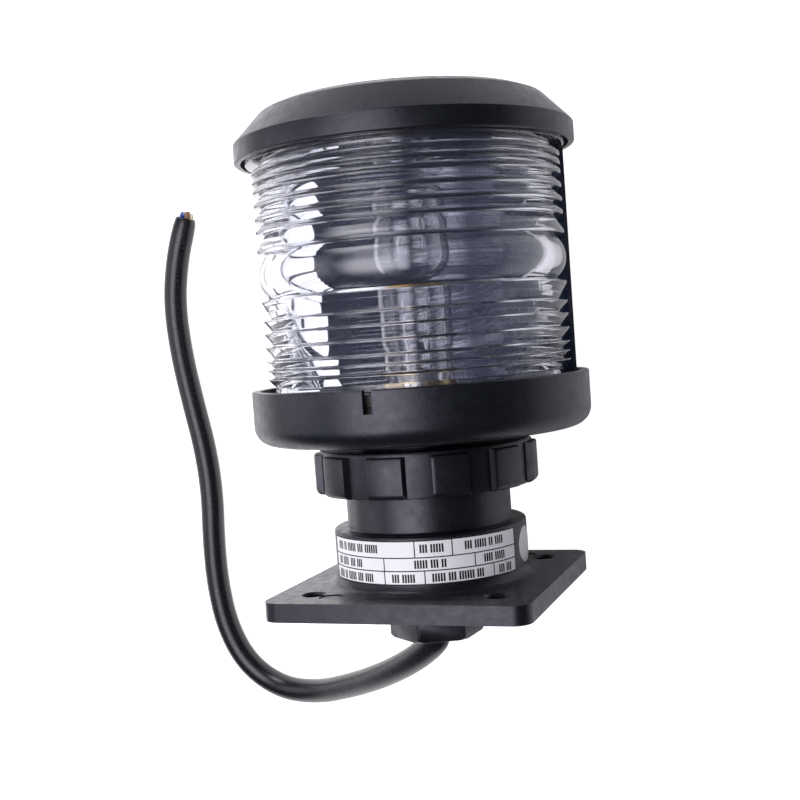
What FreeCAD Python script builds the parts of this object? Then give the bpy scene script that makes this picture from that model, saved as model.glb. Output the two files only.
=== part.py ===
import FreeCAD, Part
import math
import os

# Masthead navigation light on a square foot, millimetres.
#
# Every piece is modelled standing up: the light's axis is +Z, the underside of the
# foot is z = 0, and the light shines towards -Y. place() then lays the whole light
# on its back, as it is stored: its top points along +Y, its lit side points up (+Z),
# and the rims of the cap and of the lens ring rest on the floor with the cable.

# Foot, collar and neck
FOOT_SIDE = 86.0
FOOT_THICK = 6.0
FOOT_CORNER_R = 5.5
HOLE_SPACING = 60.0
HOLE_D = 6.5
EJECTOR_MARK_D = 7.6
EJECTOR_MARK_DEPTH = 0.3
EJECTOR_MARK_X = 22.8
EJECTOR_MARK_Y = 33.3
COLLAR_R = 31.6
COLLAR_TOP = 24.2
FLARE = 3.0
NECK_R = 27.0
NECK_TOP = 45.0
NECK_BORE_R = 21.2
CAVITY_FLOOR = 6.0
NECK_GROOVE_OUTER_R = 25.0
NECK_GROOVE_INNER_R = 22.6
NECK_GROOVE_DEPTH = 1.7

# Label and sticker on the collar, angles from the lit side
LABEL_THICK = 0.15
LABEL_LOW = 9.2
LABEL_HIGH = 23.3
LABEL_FIRST = -54.5
LABEL_LAST = 75.0
STICKER_R = 5.8
STICKER_ANGLE = 91.0
STICKER_HEIGHT = 16.2

# Union nut and its clamp ring
NUT_R = 36.6
NUT_RECESS_R = 34.6
NUT_BOTTOM = 36.2
NUT_PAD_TOP = 49.2
NUT_TOP = 50.5
NUT_BORE_R = 27.06
NUT_LIP_R = 22.4
NUT_LIP_UNDERSIDE = 48.4
NUT_PADS = 11
NUT_PAD_ARC = 19.6
NUT_FIRST_PAD = -11.3
CLAMP_BOTTOM = 45.1
CLAMP_TOP = 47.7
CLAMP_R = 26.6
NECK_SEAL_R = 23.8
NECK_SEAL_SECTION = 1.7
UNION_WASHER_TOP = 48.35

# Lens ring, the housing that carries the lens
RING_R = 55.0
RING_BOTTOM = 53.4
RING_TOP = 71.0
RING_CORNER_R = 6.0
RING_BORE_R = 52.3
RING_FLOOR = 57.5
LEDGE_TOP = 64.5
LEDGE_R = 45.5
SPIGOT_R = 21.0
SPIGOT_BORE_R = 16.5
SPIGOT_BOTTOM = 41.0
SLOT_WIDTH = 2.9
SLOT_DEPTH = 7.0
SLOT_ANGLE = 3.0

# Fresnel lens
LENS_BORE_R = 44.0
LENS_ROOT_R = 47.2
LENS_TIP_R = 50.0
LENS_FLANGE_R = 51.6
LENS_CENTRE = 107.45
LENS_BOTTOM = 65.5
LOWER_FLANGE_TOP = 69.6
UPPER_FLANGE_BOTTOM = 143.2
LENS_TOP = 147.5
BULLSEYE_HALF = 7.0
TOOTH_OFFSETS = (8.0, 14.1, 18.2, 22.6, 27.0, 29.9, 32.7)
TOOTH_UNDERCUT = 0.55
TOOTH_NOSE_R = 1.0
TOOTH_GAP_LOW = 72.2
TOOTH_GAP_HIGH = 142.1

# Rear screen
SCREEN_OUTER_R = 52.0
SCREEN_INNER_R = 50.7
SCREEN_ARC = 135.0

# Cap
CAP_R = 55.0
CAP_RIM_BOTTOM = 143.7
CAP_BAND_TOP = 149.7
CAP_SHOULDER_R = 46.1
CAP_SHOULDER = 159.0
CAP_TOP = 161.5
CAP_FLAT_R = 33.0
CAP_RIM_BORE_R = 53.0
CAP_SEAT = 147.6
CAP_SKIRT_R = 43.85
CAP_SKIRT_BORE_R = 41.6
CAP_SKIRT_BOTTOM = 140.6
CAP_SEAL_R = 47.5
CAP_SEAL_SECTION = 2.5

# Lamp and its holder
HOLDER_FLOOR = 60.0
HOLDER_BASE_BOTTOM = 54.2
HOLDER_BASE_TOP = 62.5
SPRING_SEAT = 56.9
SPRING_WIRE_D = 0.35
UNLOCK_ANGLE = 20.0
LAMP_BASE_R = 11.0
LAMP_PIN_HEIGHT = 71.4
LAMP_BASE_BOTTOM = 64.6
LAMP_BASE_TOP = 90.5
LAMP_GLASS_R = 12.5
LAMP_GLASS_TOP = 121.0
PLUNGER_SPREAD = 3.2
SHELL_R = 12.1
SHELL_BORE_R = 11.25
SHELL_BOTTOM = 56.2
SHELL_TOP = 75.0
SHELL_FLANGE_R = 15.0
BRACKET_WIDTH = 32.0
BRACKET_SPAN = 48.0
BRACKET_SHOE = 11.2
BRACKET_SHEET = 1.2
BRACKET_SCREW_X = 30.0
BRACKET_THREAD_R = 1.4

# Terminal block in the neck
BLOCK_BOTTOM = 23.0
BLOCK_HEIGHT = 14.0
BLOCK_WIRE_X = 5.0
BLOCK_SCREW_HEIGHTS = (26.5, 33.5)

# Cable gland and cable
GLAND_SLEEVE_BOTTOM = -11.0
GLAND_SLEEVE_TOP = 12.0
GLAND_NUT_FLOOR = -11.8
GLAND_AF = 27.0
GLAND_NUT_BOTTOM = -13.3
GLAND_NUT_TOP = -4.0
GLAND_THREAD_R = 9.9
GLAND_BORE_R = 6.5
GLAND_MOUTH_R = 6.9
GLAND_MOUTH_FLARE = 2.1
GLAND_MOUTH_HIGH = -11.9
GLAND_HEX_ANGLE = -6.0
CABLE_D = 9.0
CORE_D = 2.4
# At the free end each core stands out: (sideways, up) from the cable's middle, and how far.
BLUE_END = (-1.6, 0.3)
BLUE_END_LENGTH = 1.8
BROWN_END = (0.9, 0.9)
BROWN_END_LENGTH = 2.6
STRANDS_END = (2.0, -0.9)
STRAND_D = 0.6

# The cable's route once the light lies on its back: x, y along the light, z up.
CABLE_ROUTE = [
    (0.0, 10.0, 0.0), (0.0, -4.0, 0.0), (-1.0, -16.5, -1.0), (-12.0, -25.0, -8.0),
    (-28.0, -34.0, -19.0), (-47.0, -42.5, -32.5), (-67.0, -49.5, -45.0),
    (-85.0, -50.0, -50.5), (-99.0, -41.0, -50.5), (-107.0, -26.0, -50.5),
    (-110.0, -8.0, -50.5), (-110.2, 10.0, -50.5), (-109.2, 28.0, -50.5),
    (-110.6, 46.0, -50.5), (-114.5, 65.0, -50.5), (-118.0, 85.0, -50.5),
    (-119.3, 105.0, -50.5), (-116.4, 122.5, -50.5), (-111.0, 138.0, -50.5),
]

UP = FreeCAD.Vector(0, 0, 1)
ORIGIN = FreeCAD.Vector(0, 0, 0)


def place(shape):
    """Lays an upright shape on its back."""
    laid = shape.copy()
    laid.rotate(ORIGIN, FreeCAD.Vector(1, 0, 0), -90)
    return laid


def save(name, shape):
    """Writes one node's STEP file and prints its volume."""
    if not shape.isValid():
        raise ValueError(name + " is not a valid shape")
    shape.exportStep("parts/" + name + ".step")
    print(name, len(shape.Solids), "solid(s)", round(shape.Volume, 1), "mm3")


def around(radius, angle, z=0.0):
    """A point at an angle from the lit side (-Y), positive towards +X."""
    turn = math.radians(angle)
    return FreeCAD.Vector(radius * math.sin(turn), -radius * math.cos(turn), z)


def tube(outer_r, inner_r, low, high, x=0.0, y=0.0):
    """A hollow cylinder, or a solid one when inner_r is 0."""
    base = FreeCAD.Vector(x, y, low)
    body = Part.makeCylinder(outer_r, high - low, base, UP)
    if inner_r > 0:
        body = body.cut(Part.makeCylinder(inner_r, high - low + 2, base - UP, UP))
    return body


def revolve(points):
    """Turns a closed (radius, height) outline of straight sides about the axis."""
    corners = [FreeCAD.Vector(r, 0, z) for r, z in points]
    face = Part.Face(Part.makePolygon(corners + corners[:1]))
    return face.revolve(ORIGIN, UP, 360).Solids[0]


def revolve_edges(edges):
    """Turns a closed outline, given as edges in the XZ plane, about the axis."""
    face = Part.Face(Part.Wire(edges))
    return face.revolve(ORIGIN, UP, 360).Solids[0]


def line(start, end):
    """An edge between two (radius, height) points."""
    return Part.LineSegment(FreeCAD.Vector(start[0], 0, start[1]), FreeCAD.Vector(end[0], 0, end[1])).toShape()


def arc(start, middle, end):
    """A circular edge through three (radius, height) points."""
    return Part.Arc(*[FreeCAD.Vector(r, 0, z) for r, z in (start, middle, end)]).toShape()


def sector(outer_r, inner_r, low, high, first, last):
    """A curved plate between two angles from the lit side."""
    inner_edge = Part.Arc(around(inner_r, first, low), around(inner_r, (first + last) / 2, low),
                          around(inner_r, last, low)).toShape()
    outer_edge = Part.Arc(around(outer_r, last, low), around(outer_r, (first + last) / 2, low),
                          around(outer_r, first, low)).toShape()
    end_a = Part.LineSegment(around(inner_r, last, low), around(outer_r, last, low)).toShape()
    end_b = Part.LineSegment(around(outer_r, first, low), around(inner_r, first, low)).toShape()
    face = Part.Face(Part.Wire([inner_edge, end_a, outer_edge, end_b]))
    return face.extrude(UP * (high - low))


def hexagon(across_flats, low, high, angle):
    """A hexagonal prism with one corner at the given angle from the lit side."""
    corner_r = across_flats / math.sqrt(3)
    corners = [around(corner_r, angle + 60 * k, low) for k in range(7)]
    return Part.Face(Part.makePolygon(corners)).extrude(UP * (high - low))


def box_at(x, y, low, length, width, height):
    """A box centred on x and y, standing on z = low."""
    return Part.makeBox(length, width, height, FreeCAD.Vector(x - length / 2, y - width / 2, low))


def rounded_path(points):
    """Straight runs joined by tangent arcs, each as large as its two runs allow."""
    points = [FreeCAD.Vector(*p) for p in points]
    edges = []
    radii = []
    last = points[0]
    for before, corner, after in zip(points, points[1:], points[2:]):
        back = before - corner
        ahead = after - corner
        reach = 0.45 * min(back.Length, ahead.Length)
        turn = math.pi - back.getAngle(ahead)
        back.normalize()
        ahead.normalize()
        radius = reach / math.tan(turn / 2)
        start = corner + back * reach
        end = corner + ahead * reach
        centre_way = back + ahead
        centre_way.normalize()
        middle = corner + centre_way * (radius / math.cos(turn / 2) - radius)
        edges.append(Part.LineSegment(last, start).toShape())
        edges.append(Part.Arc(start, middle, end).toShape())
        radii.append(radius)
        last = end
    edges.append(Part.LineSegment(last, points[-1]).toShape())
    return Part.Wire(edges), radii


def pipe(points, diameter):
    """A round rod along a rounded path."""
    path, radii = rounded_path(points)
    first = path.Edges[0]
    start = first.valueAt(first.FirstParameter)
    ring = Part.Wire([Part.Circle(start, first.tangentAt(first.FirstParameter), diameter / 2).toShape()])
    solid = path.makePipeShell([ring], True, False)
    return solid, path.Length, radii


# ---- Foot -------------------------------------------------------------------

def foot_plate():
    """The square plate with its four screw holes and two ejector marks."""
    plate = box_at(0, 0, 0, FOOT_SIDE, FOOT_SIDE, FOOT_THICK)
    uprights = [e for e in plate.Edges if abs(e.Vertexes[0].Z - e.Vertexes[-1].Z) > 1]
    plate = plate.makeFillet(FOOT_CORNER_R, uprights)
    rim = [e for e in plate.Edges if abs(e.CenterOfMass.z - FOOT_THICK) < 0.01]
    plate = plate.makeFillet(0.6, rim)
    half = HOLE_SPACING / 2
    for x in (-half, half):
        for y in (-half, half):
            plate = plate.cut(tube(HOLE_D / 2, 0, -1, FOOT_THICK + 1, x, y))
    for x in (-EJECTOR_MARK_X, EJECTOR_MARK_X):
        y = math.copysign(EJECTOR_MARK_Y, x)
        mark = tube(EJECTOR_MARK_D / 2, 0, FOOT_THICK - EJECTOR_MARK_DEPTH, FOOT_THICK + 1, x, y)
        plate = plate.cut(mark)
    return plate


def pedestal():
    """Foot, flared collar and hollow neck in one moulding."""
    flare_r = COLLAR_R + FLARE
    dip = FLARE * (1 - math.sqrt(0.5))
    outline = [
        line((0, 2), (flare_r, 2)),
        line((flare_r, 2), (flare_r, FOOT_THICK)),
        arc((flare_r, FOOT_THICK), (COLLAR_R + dip, FOOT_THICK + dip), (COLLAR_R, FOOT_THICK + FLARE)),
        line((COLLAR_R, FOOT_THICK + FLARE), (COLLAR_R, COLLAR_TOP - 0.8)),
        line((COLLAR_R, COLLAR_TOP - 0.8), (COLLAR_R - 0.8, COLLAR_TOP)),
        line((COLLAR_R - 0.8, COLLAR_TOP), (NECK_R, COLLAR_TOP)),
        line((NECK_R, COLLAR_TOP), (NECK_R, NECK_TOP)),
        line((NECK_R, NECK_TOP), (0, NECK_TOP)),
        line((0, NECK_TOP), (0, 2)),
    ]
    body = foot_plate().fuse(revolve_edges(outline))
    body = body.cut(tube(NECK_BORE_R, 0, CAVITY_FLOOR, NECK_TOP + 1))
    body = body.cut(tube(GLAND_THREAD_R + 0.1, 0, -1, CAVITY_FLOOR + 1))
    groove = tube(NECK_GROOVE_OUTER_R, NECK_GROOVE_INNER_R, NECK_TOP - NECK_GROOVE_DEPTH, NECK_TOP + 1)
    return body.cut(groove).removeSplitter()


def o_ring(mean_r, section, z):
    """A rubber ring whose section's centre is at height z."""
    return Part.makeTorus(mean_r, section / 2, FreeCAD.Vector(0, 0, z), UP)


def rating_label():
    """The blank data label round the collar."""
    return sector(COLLAR_R + LABEL_THICK, COLLAR_R, LABEL_LOW, LABEL_HIGH, LABEL_FIRST, LABEL_LAST)


def round_sticker():
    """The small round sticker beside the label."""
    band = tube(COLLAR_R + LABEL_THICK, COLLAR_R, FOOT_THICK + FLARE, COLLAR_TOP)
    centre = around(COLLAR_R - 5, STICKER_ANGLE, STICKER_HEIGHT)
    punch = Part.makeCylinder(STICKER_R, 12, centre, around(1, STICKER_ANGLE))
    return band.common(punch)


# ---- Cable gland ------------------------------------------------------------

def gland_body():
    """Threaded sleeve with a hexagon that seats under the foot."""
    sleeve = tube(GLAND_THREAD_R, GLAND_BORE_R, GLAND_SLEEVE_BOTTOM, GLAND_SLEEVE_TOP)
    return sleeve.fuse(hexagon(GLAND_AF, -3.4, 0.0, GLAND_HEX_ANGLE).cut(tube(GLAND_BORE_R, 0, -5, 1)))


def gland_lock_nut():
    """Thin nut that holds the gland from inside the foot."""
    return hexagon(25.0, CAVITY_FLOOR, CAVITY_FLOOR + 4.0, 0).cut(tube(GLAND_THREAD_R + 0.05, 0, 0, 20))


def gland_nut():
    """Hexagonal dome nut that squeezes the seal on the cable."""
    nut = hexagon(GLAND_AF, GLAND_NUT_BOTTOM, GLAND_NUT_TOP, GLAND_HEX_ANGLE)
    corner_r = GLAND_AF / math.sqrt(3)
    lower_chamfer = revolve([
        (0, GLAND_NUT_BOTTOM), (corner_r - 1.2, GLAND_NUT_BOTTOM), (corner_r + 0.1, GLAND_NUT_BOTTOM + 0.8),
        (corner_r + 0.1, GLAND_NUT_TOP), (0, GLAND_NUT_TOP)])
    nut = nut.common(lower_chamfer)
    nut = nut.cut(tube(GLAND_THREAD_R + 0.06, 0, GLAND_NUT_FLOOR, 0))
    flared_r = GLAND_MOUTH_R + GLAND_MOUTH_FLARE
    mouth = revolve([
        (0, GLAND_NUT_BOTTOM - 1), (flared_r, GLAND_NUT_BOTTOM - 1), (flared_r, GLAND_NUT_BOTTOM),
        (GLAND_MOUTH_R, GLAND_MOUTH_HIGH), (GLAND_MOUTH_R, GLAND_NUT_TOP + 1), (0, GLAND_NUT_TOP + 1)])
    return nut.cut(mouth)


def gland_washer():
    """Slip washer between the nut and the seal."""
    return tube(GLAND_THREAD_R - 0.3, GLAND_BORE_R - 0.3, GLAND_NUT_FLOOR + 0.1, GLAND_SLEEVE_BOTTOM - 0.1)


def gland_seal():
    """Rubber bush that fits the cable inside the gland, in the lying position."""
    bush = place(tube(GLAND_BORE_R - 0.02, 0, GLAND_SLEEVE_BOTTOM, 2.0))
    return bush.cut(pipe(CABLE_ROUTE, CABLE_D + 0.1)[0])


# ---- Neck joint -------------------------------------------------------------

def clamp_ring():
    """Ring fixed to the lens ring's spigot, pressed on the neck by the union nut."""
    return tube(CLAMP_R, SPIGOT_R, CLAMP_BOTTOM, CLAMP_TOP)


def union_washer():
    """Slip washer between the clamp ring and the union nut's lip."""
    return tube(CLAMP_R - 0.2, NUT_LIP_R, CLAMP_TOP + 0.05, UNION_WASHER_TOP)


def union_nut():
    """Hand nut with raised grip pads and a lip that holds the clamp ring down."""
    core = revolve([
        (NUT_BORE_R, NUT_BOTTOM), (NUT_RECESS_R - 1, NUT_BOTTOM), (NUT_RECESS_R, NUT_BOTTOM + 1),
        (NUT_RECESS_R, NUT_TOP - 0.6), (NUT_RECESS_R - 0.6, NUT_TOP), (NUT_LIP_R, NUT_TOP),
        (NUT_LIP_R, NUT_LIP_UNDERSIDE), (NUT_BORE_R, NUT_LIP_UNDERSIDE)])
    pads = []
    for k in range(NUT_PADS):
        first = NUT_FIRST_PAD + k * 360.0 / NUT_PADS
        pads.append(sector(NUT_R, NUT_RECESS_R - 0.8, NUT_BOTTOM, NUT_PAD_TOP, first, first + NUT_PAD_ARC))
    pad_ring = Part.makeCompound(pads)
    rounded = revolve_edges([
        line((20, NUT_BOTTOM), (NUT_R - 1.6, NUT_BOTTOM)),
        arc((NUT_R - 1.6, NUT_BOTTOM), (NUT_R - 0.47, NUT_BOTTOM + 0.47), (NUT_R, NUT_BOTTOM + 1.6)),
        line((NUT_R, NUT_BOTTOM + 1.6), (NUT_R, NUT_PAD_TOP - 0.7)),
        line((NUT_R, NUT_PAD_TOP - 0.7), (NUT_R - 0.7, NUT_PAD_TOP)),
        line((NUT_R - 0.7, NUT_PAD_TOP), (20, NUT_PAD_TOP)),
        line((20, NUT_PAD_TOP), (20, NUT_BOTTOM))])
    trimmed = [pad.common(rounded) for pad in pad_ring.Solids]
    return core.fuse(trimmed).removeSplitter()


# ---- Lens ring, lens and screen ---------------------------------------------

def head_housing():
    """Lens ring with its floor, gasket ledge and hollow spigot."""
    corner = RING_CORNER_R
    dip = corner * (1 - math.sqrt(0.5))
    outline = [
        line((SPIGOT_BORE_R, SPIGOT_BOTTOM), (SPIGOT_R, SPIGOT_BOTTOM)),
        line((SPIGOT_R, SPIGOT_BOTTOM), (SPIGOT_R, RING_BOTTOM)),
        line((SPIGOT_R, RING_BOTTOM), (RING_R - corner, RING_BOTTOM)),
        arc((RING_R - corner, RING_BOTTOM), (RING_R - dip, RING_BOTTOM + dip), (RING_R, RING_BOTTOM + corner)),
        line((RING_R, RING_BOTTOM + corner), (RING_R, RING_TOP - 0.4)),
        line((RING_R, RING_TOP - 0.4), (RING_R - 0.4, RING_TOP)),
        line((RING_R - 0.4, RING_TOP), (RING_BORE_R, RING_TOP)),
        line((RING_BORE_R, RING_TOP), (RING_BORE_R, LEDGE_TOP)),
        line((RING_BORE_R, LEDGE_TOP), (LEDGE_R, LEDGE_TOP)),
        line((LEDGE_R, LEDGE_TOP), (LEDGE_R, RING_FLOOR)),
        line((LEDGE_R, RING_FLOOR), (SPIGOT_BORE_R, RING_FLOOR)),
        line((SPIGOT_BORE_R, RING_FLOOR), (SPIGOT_BORE_R, SPIGOT_BOTTOM)),
    ]
    body = revolve_edges(outline)
    slot = box_at(0, -RING_R, RING_TOP - SLOT_DEPTH, SLOT_WIDTH, 3.6, SLOT_DEPTH + 1)
    slot.rotate(ORIGIN, UP, SLOT_ANGLE)
    body = body.cut(slot)
    for x in (-BRACKET_SCREW_X, BRACKET_SCREW_X):
        body = body.cut(tube(BRACKET_THREAD_R + 0.05, 0, RING_FLOOR - 3.0, RING_FLOOR + 1, x, 0))
    return body


def lens_gasket():
    """Flat rubber ring under the lens."""
    return tube(51.4, 46.2, LEDGE_TOP, LENS_BOTTOM)


def lower_teeth():
    """Points of the sharp, flat-topped teeth below the bullseye, from the lowest up."""
    points = []
    for offset in reversed(TOOTH_OFFSETS):
        tip = LENS_CENTRE - offset
        points.append((LENS_TIP_R, tip))
        points.append((LENS_ROOT_R, tip + TOOTH_UNDERCUT))
    return points[:-1]


def upper_teeth():
    """Edges of the round-nosed teeth above the bullseye, each with a flat underside."""
    nose_r = LENS_TIP_R - TOOTH_NOSE_R
    noses = [LENS_CENTRE + offset for offset in TOOTH_OFFSETS]
    roots = [(LENS_ROOT_R, z - TOOTH_NOSE_R) for z in noses] + [(LENS_ROOT_R, TOOTH_GAP_HIGH)]
    edges = []
    for root, z, target in zip(roots, noses, roots[1:]):
        across, rise = target[0] - nose_r, target[1] - z
        leave = math.atan2(rise, across) - math.acos(TOOTH_NOSE_R / math.hypot(across, rise))
        middle = (leave - math.pi / 2) / 2
        nose = [(nose_r + TOOTH_NOSE_R * math.cos(a), z + TOOTH_NOSE_R * math.sin(a)) for a in (middle, leave)]
        start = (nose_r, z - TOOTH_NOSE_R)
        edges += [line(root, start), arc(start, nose[0], nose[1]), line(nose[1], target)]
    return edges


def lens():
    """One clear moulding: bullseye band, seven teeth above and below, two flanges."""
    bulge_low = (LENS_ROOT_R + 0.3, LENS_CENTRE - BULLSEYE_HALF)
    bulge_high = (LENS_ROOT_R, LENS_CENTRE + BULLSEYE_HALF)
    lower = [(LENS_BORE_R, LENS_BOTTOM), (LENS_FLANGE_R, LENS_BOTTOM), (LENS_FLANGE_R, LOWER_FLANGE_TOP),
             (LENS_ROOT_R, LOWER_FLANGE_TOP), (LENS_ROOT_R, TOOTH_GAP_LOW)] + lower_teeth() + [bulge_low]
    upper = [(LENS_ROOT_R, TOOTH_GAP_HIGH), (LENS_ROOT_R, UPPER_FLANGE_BOTTOM),
             (LENS_FLANGE_R, UPPER_FLANGE_BOTTOM), (LENS_FLANGE_R, LENS_TOP), (LENS_BORE_R, LENS_TOP),
             lower[0]]
    edges = [line(a, b) for a, b in zip(lower, lower[1:])]
    edges.append(arc(bulge_low, (LENS_TIP_R + 0.1, LENS_CENTRE), bulge_high))
    edges += upper_teeth()
    edges += [line(a, b) for a, b in zip(upper, upper[1:])]
    return revolve_edges(edges)


def back_screen():
    """Black screen behind the lens that leaves a 225 degree arc of light."""
    half = SCREEN_ARC / 2
    return sector(SCREEN_OUTER_R, SCREEN_INNER_R, LOWER_FLANGE_TOP, UPPER_FLANGE_BOTTOM, 180 - half, 180 + half)


# ---- Cap --------------------------------------------------------------------

def top_cap():
    """Screw cap: rim band, sloping shoulder, flat top, inner skirt."""
    outline = [
        line((CAP_RIM_BORE_R, CAP_RIM_BOTTOM), (CAP_R - 0.7, CAP_RIM_BOTTOM)),
        arc((CAP_R - 0.7, CAP_RIM_BOTTOM), (CAP_R - 0.2, CAP_RIM_BOTTOM + 0.2), (CAP_R, CAP_RIM_BOTTOM + 0.7)),
        line((CAP_R, CAP_RIM_BOTTOM + 0.7), (CAP_R, CAP_BAND_TOP - 0.4)),
        line((CAP_R, CAP_BAND_TOP - 0.4), (CAP_R - 0.3, CAP_BAND_TOP)),
        line((CAP_R - 0.3, CAP_BAND_TOP), (CAP_SHOULDER_R, CAP_SHOULDER)),
        arc((CAP_SHOULDER_R, CAP_SHOULDER), (CAP_SHOULDER_R - 1.7, CAP_SHOULDER + 1.15),
            (CAP_SHOULDER_R - 4.0, CAP_SHOULDER + 1.55)),
        line((CAP_SHOULDER_R - 4.0, CAP_SHOULDER + 1.55), (CAP_FLAT_R, CAP_TOP)),
        line((CAP_FLAT_R, CAP_TOP), (0, CAP_TOP)),
        line((0, CAP_TOP), (0, CAP_TOP - 2.6)),
        line((0, CAP_TOP - 2.6), (CAP_SKIRT_BORE_R - 2, CAP_SHOULDER - 1.4)),
        line((CAP_SKIRT_BORE_R - 2, CAP_SHOULDER - 1.4), (CAP_SKIRT_BORE_R, CAP_SHOULDER - 4)),
        line((CAP_SKIRT_BORE_R, CAP_SHOULDER - 4), (CAP_SKIRT_BORE_R, CAP_SKIRT_BOTTOM)),
        line((CAP_SKIRT_BORE_R, CAP_SKIRT_BOTTOM), (CAP_SKIRT_R, CAP_SKIRT_BOTTOM)),
        line((CAP_SKIRT_R, CAP_SKIRT_BOTTOM), (CAP_SKIRT_R, CAP_SEAT)),
        line((CAP_SKIRT_R, CAP_SEAT), (CAP_RIM_BORE_R, CAP_SEAT)),
        line((CAP_RIM_BORE_R, CAP_SEAT), (CAP_RIM_BORE_R, CAP_RIM_BOTTOM)),
    ]
    half = CAP_SEAL_SECTION / 2
    groove = tube(CAP_SEAL_R + half + 0.1, CAP_SEAL_R - half - 0.1, CAP_SEAT - 1,
                  LENS_TOP + CAP_SEAL_SECTION + 0.05)
    return revolve_edges(outline).cut(groove)


# ---- Lamp holder ------------------------------------------------------------

def lamp_bracket():
    """Pressed steel bridge that carries the lamp holder above the floor."""
    top = box_at(0, 0, HOLDER_FLOOR + 1.0, BRACKET_SPAN, BRACKET_WIDTH, BRACKET_SHEET)
    leg_x = (BRACKET_SPAN - BRACKET_SHEET) / 2
    leg_height = HOLDER_FLOOR + 1.0 + BRACKET_SHEET - RING_FLOOR
    shoe_x = BRACKET_SPAN / 2 - BRACKET_SHEET + BRACKET_SHOE / 2
    pieces = []
    for side in (-1, 1):
        pieces.append(box_at(side * leg_x, 0, RING_FLOOR, BRACKET_SHEET, BRACKET_WIDTH, leg_height))
        pieces.append(box_at(side * shoe_x, 0, RING_FLOOR, BRACKET_SHOE, BRACKET_WIDTH, BRACKET_SHEET))
    bracket = top.fuse(pieces)
    bracket = bracket.cut(tube(SHELL_R + 0.05, 0, HOLDER_FLOOR, 70))
    for x in (-BRACKET_SCREW_X, BRACKET_SCREW_X):
        bracket = bracket.cut(tube(BRACKET_THREAD_R + 0.25, 0, RING_FLOOR - 1, HOLDER_FLOOR, x, 0))
    return bracket.removeSplitter()


def pan_screw(x, y, seat, shank, thread_r, head_r):
    """Pan-head screw pointing down from its seat, with a cross recess."""
    head = tube(head_r, 0, seat, seat + 1.6, x, y)
    head = head.makeFillet(0.5, [e for e in head.Edges if abs(e.CenterOfMass.z - seat - 1.6) < 0.01])
    body = head.fuse(tube(thread_r, 0, seat - shank, seat, x, y))
    cross = box_at(x, y, seat + 0.8, head_r * 1.3, 0.6, 2).fuse(box_at(x, y, seat + 0.8, 0.6, head_r * 1.3, 2))
    return body.cut(cross)


def bracket_screws():
    """Two screws that hold the bracket to the floor of the lens ring."""
    seat = RING_FLOOR + BRACKET_SHEET
    return Part.makeCompound([pan_screw(x, 0, seat, 3.8, BRACKET_THREAD_R, 2.9)
                              for x in (-BRACKET_SCREW_X, BRACKET_SCREW_X)])


def holder_base():
    """Moulded insulator in the lower half of the holder shell."""
    body = tube(SHELL_BORE_R - 0.05, 0, HOLDER_BASE_BOTTOM, HOLDER_BASE_TOP)
    for x in (-PLUNGER_SPREAD, PLUNGER_SPREAD):
        body = body.cut(tube(1.3, 0, HOLDER_BASE_BOTTOM - 1, SPRING_SEAT, x, 0))
        body = body.cut(tube(1.75, 0, SPRING_SEAT, HOLDER_BASE_TOP + 1, x, 0))
    return body


def holder_shell():
    """Brass tube with two entry slots and two pin windows."""
    shell = tube(SHELL_R, SHELL_BORE_R, SHELL_BOTTOM, SHELL_TOP)
    bridge_top = HOLDER_FLOOR + 1.0 + BRACKET_SHEET
    flange = tube(SHELL_FLANGE_R, SHELL_R - 0.2, bridge_top, bridge_top + 0.8)
    shell = shell.fuse(flange)
    for side in (0, 180):
        entry = box_at(0, -SHELL_R, LAMP_PIN_HEIGHT - 1, 2.6, 3.0, 10)
        entry.rotate(ORIGIN, UP, UNLOCK_ANGLE)
        window = sector(SHELL_R + 1, SHELL_BORE_R - 1, LAMP_PIN_HEIGHT - 3.3, LAMP_PIN_HEIGHT + 1.1,
                        -9.5, UNLOCK_ANGLE + 9.5)
        opening = entry.fuse(window)
        opening.rotate(ORIGIN, UP, side)
        shell = shell.cut(opening)
    return shell


def plunger(x):
    """Spring-loaded contact: a button on a thin stem."""
    low = LAMP_BASE_BOTTOM - 1.0
    button = tube(1.6, 0, low - 1.4, low, x, 0)
    stem = tube(0.7, 0, SPRING_SEAT - 0.5, low - 1.4, x, 0)
    return button.fuse(stem)


def contact_plungers():
    """Both contact plungers of the lamp holder."""
    return Part.makeCompound([plunger(x) for x in (-PLUNGER_SPREAD, PLUNGER_SPREAD)])


def contact_springs():
    """Both springs behind the contact plungers, each a stack of plain wire turns."""
    low = SPRING_SEAT + SPRING_WIRE_D / 2 + 0.1
    pitch = 0.95
    turns = []
    for x in (-PLUNGER_SPREAD, PLUNGER_SPREAD):
        for k in range(5):
            centre = FreeCAD.Vector(x, 0, low + k * pitch)
            turns.append(Part.makeTorus(1.25, SPRING_WIRE_D / 2, centre, UP))
    return Part.makeCompound(turns)


# ---- Lamp -------------------------------------------------------------------

def lamp_base():
    """Brass bayonet base with its two pins, hollow inside."""
    shell = tube(LAMP_BASE_R, LAMP_BASE_R - 0.4, LAMP_BASE_BOTTOM + 0.4, LAMP_BASE_TOP)
    pins = []
    for side in (-1, 1):
        start = FreeCAD.Vector(0, side * (LAMP_BASE_R - 0.3), LAMP_PIN_HEIGHT)
        pins.append(Part.makeCylinder(0.95, 1.75, start, FreeCAD.Vector(0, side, 0)))
    return shell.fuse(pins)


def lamp_insulator():
    """Black glass disc that closes the base and carries the contacts."""
    body = tube(LAMP_BASE_R - 0.42, 0, LAMP_BASE_BOTTOM + 0.4, LAMP_BASE_BOTTOM + 3.0)
    for x in (-PLUNGER_SPREAD, PLUNGER_SPREAD):
        body = body.cut(tube(0.62, 0, LAMP_BASE_BOTTOM, LAMP_BASE_BOTTOM + 4, x, 0))
    return body


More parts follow.
